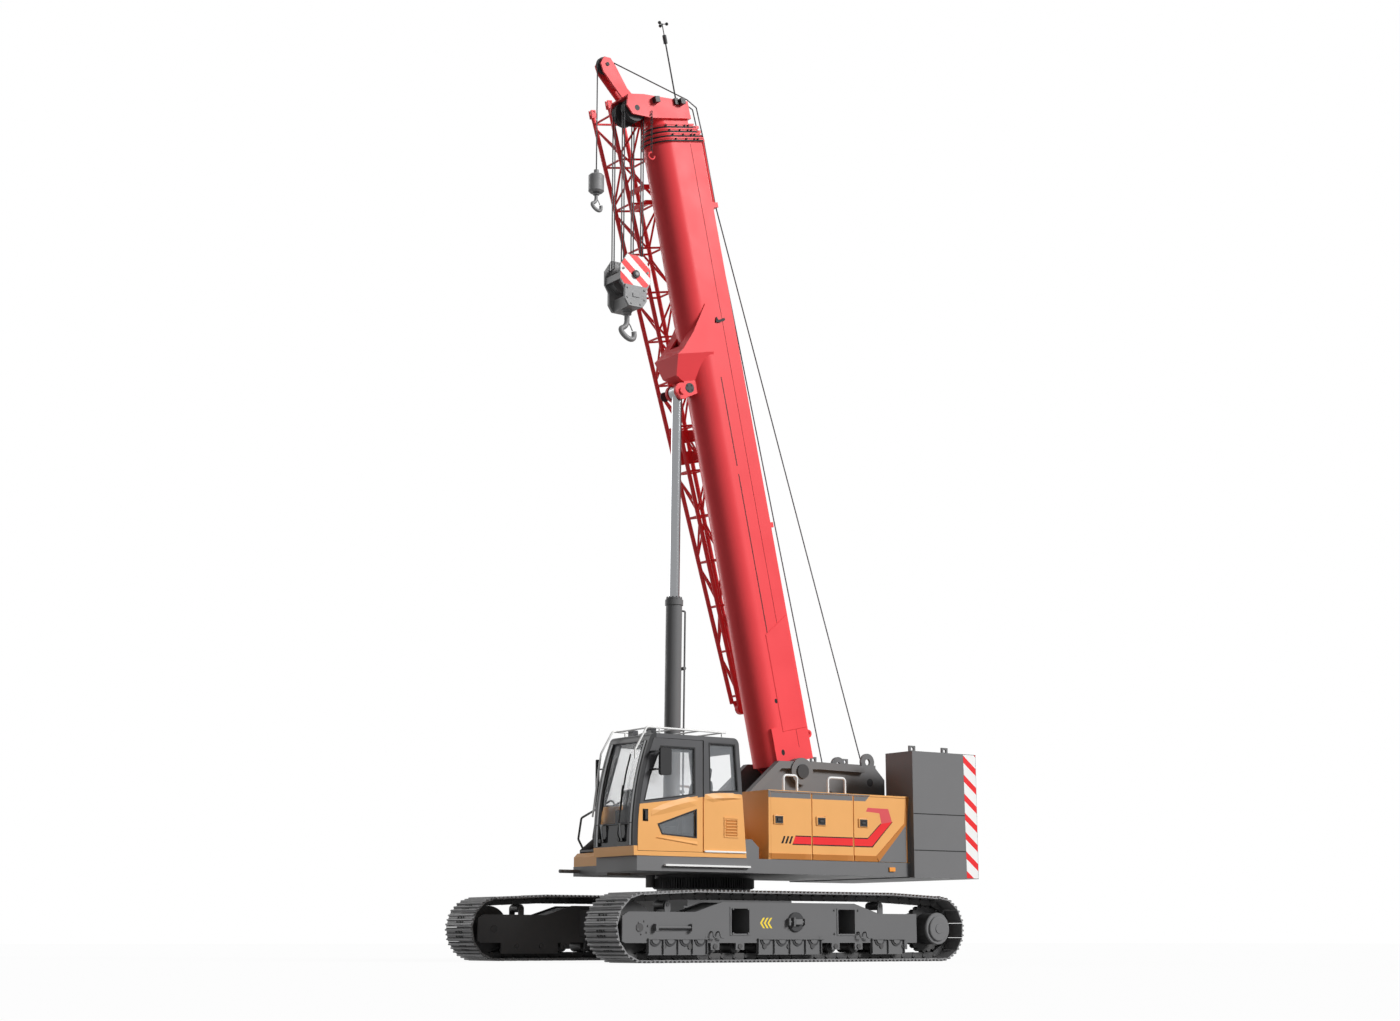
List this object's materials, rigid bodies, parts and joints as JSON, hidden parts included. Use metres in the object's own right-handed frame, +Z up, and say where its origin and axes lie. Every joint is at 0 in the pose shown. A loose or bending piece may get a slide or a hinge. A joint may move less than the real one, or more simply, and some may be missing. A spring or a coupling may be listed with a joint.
{
  "type": "telescopic-boom crawler crane",
  "caption": "Crawler crane with a telescopic boom, lift cylinder, stowed lattice jib, hook block, auxiliary hook, slewing upper works, glazed cab and spreading tracks.",
  "frame": {"origin": "on the ground under the slewing axis", "axes": "+X forward, +Y to the crane's left, +Z up"},
  "size_m": [7.025, 4.53, 14.1408],
  "materials": {
    "boom_red": "satin",
    "body_orange": "gloss",
    "cab_grey": "satin",
    "deck_grey": "satin",
    "track_iron": "worn",
    "chrome_rod": "polished",
    "glass": "clear",
    "rail_white": "gloss",
    "seat_cloth": "matt",
    "dark_plastic": "matt",
    "lamp_amber": "gloss",
    "hook_steel": "satin"
  },
  "bodies": {
    "undercarriage": {"carbody": "deck_grey", "slew_ring_gear": "track_iron"},
    "track_left": {"track_belt_left": "track_iron", "track_frame_left": "deck_grey", "track_wheels_left": "track_iron"},
    "track_right": {"track_belt_right": "track_iron", "track_frame_right": "deck_grey", "track_wheels_right": "track_iron"},
    "cab_door": {"cab_door": "cab_grey", "cab_door_panes": "glass", "door_mirror": "dark_plastic"},
    "main_winch": {"main_winch_drum": "deck_grey"},
    "aux_winch": {"aux_winch_drum": "deck_grey"},
    "boom_base": {"boom_base": "boom_red", "lattice_jib": "boom_red"},
    "boom_2": {"boom_section_2": "boom_red"},
    "boom_3": {"boom_section_3": "boom_red"},
    "boom_4": {"boom_section_4": "boom_red"},
    "boom_5": {"boom_section_5": "boom_red", "boom_head": "boom_red", "head_fittings": "dark_plastic"},
    "main_sheaves": {"head_sheaves": "hook_steel"},
    "hook_block": {"hook_block": "hook_steel"},
    "main_hook": {"main_hook": "hook_steel"},
    "aux_sheave": {"jib_sheave": "hook_steel"},
    "aux_weight": {"aux_weight": "hook_steel"},
    "aux_hook": {"aux_hook": "hook_steel"},
    "lift_barrel": {"lift_barrel": "deck_grey"},
    "lift_rod": {"lift_rod": "chrome_rod"},
    "left_cover_1": {"left_cover_1": "body_orange"},
    "left_cover_2": {"left_cover_2": "body_orange"},
    "left_cover_3": {"left_cover_3": "body_orange"},
    "right_cover_1": {"right_cover_1": "body_orange"},
    "right_cover_2": {"right_cover_2": "body_orange"},
    "right_cover_3": {"right_cover_3": "body_orange"},
    "upper": {"access_steps": "deck_grey", "boom_foot_pin": "deck_grey", "cab_console": "dark_plastic", "cab_floor": "cab_grey", "cab_front_frame": "cab_grey", "cab_guard": "rail_white", "cab_left_panel": "cab_grey", "cab_panes": "glass", "cab_rear_wall": "cab_grey", "cab_right_wall": "cab_grey", "cab_roof": "cab_grey", "cab_seat": "seat_cloth", "cab_windscreen": "glass", "counterweight_base": "deck_grey", "counterweight_middle": "deck_grey", "counterweight_top": "deck_grey", "engine_block": "deck_grey", "grab_rails": "rail_white", "lamps": "lamp_amber", "left_housing": "deck_grey", "right_housing": "deck_grey", "slew_race": "deck_grey", "tool_box": "body_orange", "upper_frame": "deck_grey"}
  },
  "joints": [
    {"name": "slew", "type": "hinge", "parent": "undercarriage", "child": "upper", "pos_m": [0, 0, 1.2], "axis": [0, 0, 1], "continuous": true},
    {"name": "track_left_spread", "type": "slide", "parent": "undercarriage", "child": "track_left", "axis": [0, 1, 0], "range_m": [-0.5, 0]},
    {"name": "track_right_spread", "type": "slide", "parent": "undercarriage", "child": "track_right", "axis": [0, -1, 0], "range_m": [-0.5, 0]},
    {"name": "boom_luff", "type": "hinge", "parent": "upper", "child": "boom_base", "pos_m": [-1.472, 0, 2.753], "axis": [0, -1, 0], "range_deg": [-77.6, 2.4]},
    {"name": "lift_barrel_swing", "type": "hinge", "parent": "upper", "child": "lift_barrel", "pos_m": [0.58, 0, 1.5], "axis": [0, -1, 0], "range_deg": [-82.89, 2.76]},
    {"name": "lift_rod_stroke", "type": "slide", "parent": "lift_barrel", "child": "lift_rod", "axis": [-0.0138, 0, 0.9999], "range_m": [-2.9827, 0.0971]},
    {"name": "main_fall_hang", "type": "hinge", "parent": "boom_5", "child": "main_sheaves", "pos_m": [1.40005, 0, 12.64912], "axis": [0, -1, 0], "range_deg": [-2.6, 77.8]},
    {"name": "main_hoist", "type": "slide", "parent": "main_sheaves", "child": "hook_block", "axis": [0, 0, -1], "range_m": [-2, 7.9]},
    {"name": "main_hook_swivel", "type": "hinge", "parent": "hook_block", "child": "main_hook", "pos_m": [1.40005, 0, 9.4], "axis": [0, 0, 1], "continuous": true},
    {"name": "aux_fall_hang", "type": "hinge", "parent": "boom_5", "child": "aux_sheave", "pos_m": [1.84449, 0, 13.29679], "axis": [0, -1, 0], "range_deg": [-2.6, 77.8]},
    {"name": "aux_hoist", "type": "slide", "parent": "aux_sheave", "child": "aux_weight", "axis": [0, 0, -1], "range_m": [-1.3, 9]},
    {"name": "aux_hook_swivel", "type": "hinge", "parent": "aux_weight", "child": "aux_hook", "pos_m": [1.96549, 0, 11.2], "axis": [0, 0, 1], "continuous": true},
    {"name": "main_winch_spin", "type": "hinge", "parent": "upper", "child": "main_winch", "pos_m": [-2.08, 0, 2.43], "axis": [0, 1, 0], "continuous": true},
    {"name": "aux_winch_spin", "type": "hinge", "parent": "upper", "child": "aux_winch", "pos_m": [-2.86, 0, 2.65], "axis": [0, 1, 0], "continuous": true},
    {"name": "cab_door_swing", "type": "hinge", "parent": "upper", "child": "cab_door", "pos_m": [1.093, 1.473, 2.2], "axis": [0, 0, 1], "range_deg": [0, 95]},
    {"name": "boom_extend_2", "type": "slide", "parent": "boom_base", "child": "boom_2", "axis": [0.2147, 0, 0.9767], "range_m": [0, 7.4]},
    {"name": "boom_extend_3", "type": "slide", "parent": "boom_base", "child": "boom_3", "axis": [0.2147, 0, 0.9767], "range_m": [-0.001, 14.801]},
    {"name": "boom_extend_4", "type": "slide", "parent": "boom_base", "child": "boom_4", "axis": [0.2147, 0, 0.9767], "range_m": [-0.001, 22.201]},
    {"name": "boom_extend_5", "type": "slide", "parent": "boom_base", "child": "boom_5", "axis": [0.2147, 0, 0.9767], "range_m": [-0.001, 29.601]},
    {"name": "left_cover_1_swing", "type": "hinge", "parent": "upper", "child": "left_cover_1", "pos_m": [-0.892, 1.38, 1.9], "axis": [0, 0, 1], "range_deg": [0, 95]},
    {"name": "left_cover_2_swing", "type": "hinge", "parent": "upper", "child": "left_cover_2", "pos_m": [-1.661, 1.38, 1.9], "axis": [0, 0, 1], "range_deg": [0, 95]},
    {"name": "left_cover_3_swing", "type": "hinge", "parent": "upper", "child": "left_cover_3", "pos_m": [-2.677, 1.38, 1.9], "axis": [0, 0, 1], "range_deg": [0, 95]},
    {"name": "right_cover_1_swing", "type": "hinge", "parent": "upper", "child": "right_cover_1", "pos_m": [-0.892, -1.38, 1.9], "axis": [0, 0, -1], "range_deg": [0, 95]},
    {"name": "right_cover_2_swing", "type": "hinge", "parent": "upper", "child": "right_cover_2", "pos_m": [-1.661, -1.38, 1.9], "axis": [0, 0, -1], "range_deg": [0, 95]},
    {"name": "right_cover_3_swing", "type": "hinge", "parent": "upper", "child": "right_cover_3", "pos_m": [-2.677, -1.38, 1.9], "axis": [0, 0, -1], "range_deg": [0, 95]}
  ],
  "couplings": [
    {"joint": "lift_barrel_swing", "follows": "boom_luff", "ratio": 1.0656},
    {"joint": "lift_rod_stroke", "follows": "boom_luff", "m_per_rad": 2.1986},
    {"joint": "main_fall_hang", "follows": "boom_luff", "ratio": -1},
    {"joint": "aux_fall_hang", "follows": "boom_luff", "ratio": -1},
    {"joint": "boom_extend_3", "follows": "boom_extend_2", "ratio": 2},
    {"joint": "boom_extend_4", "follows": "boom_extend_2", "ratio": 3},
    {"joint": "boom_extend_5", "follows": "boom_extend_2", "ratio": 4}
  ]
}
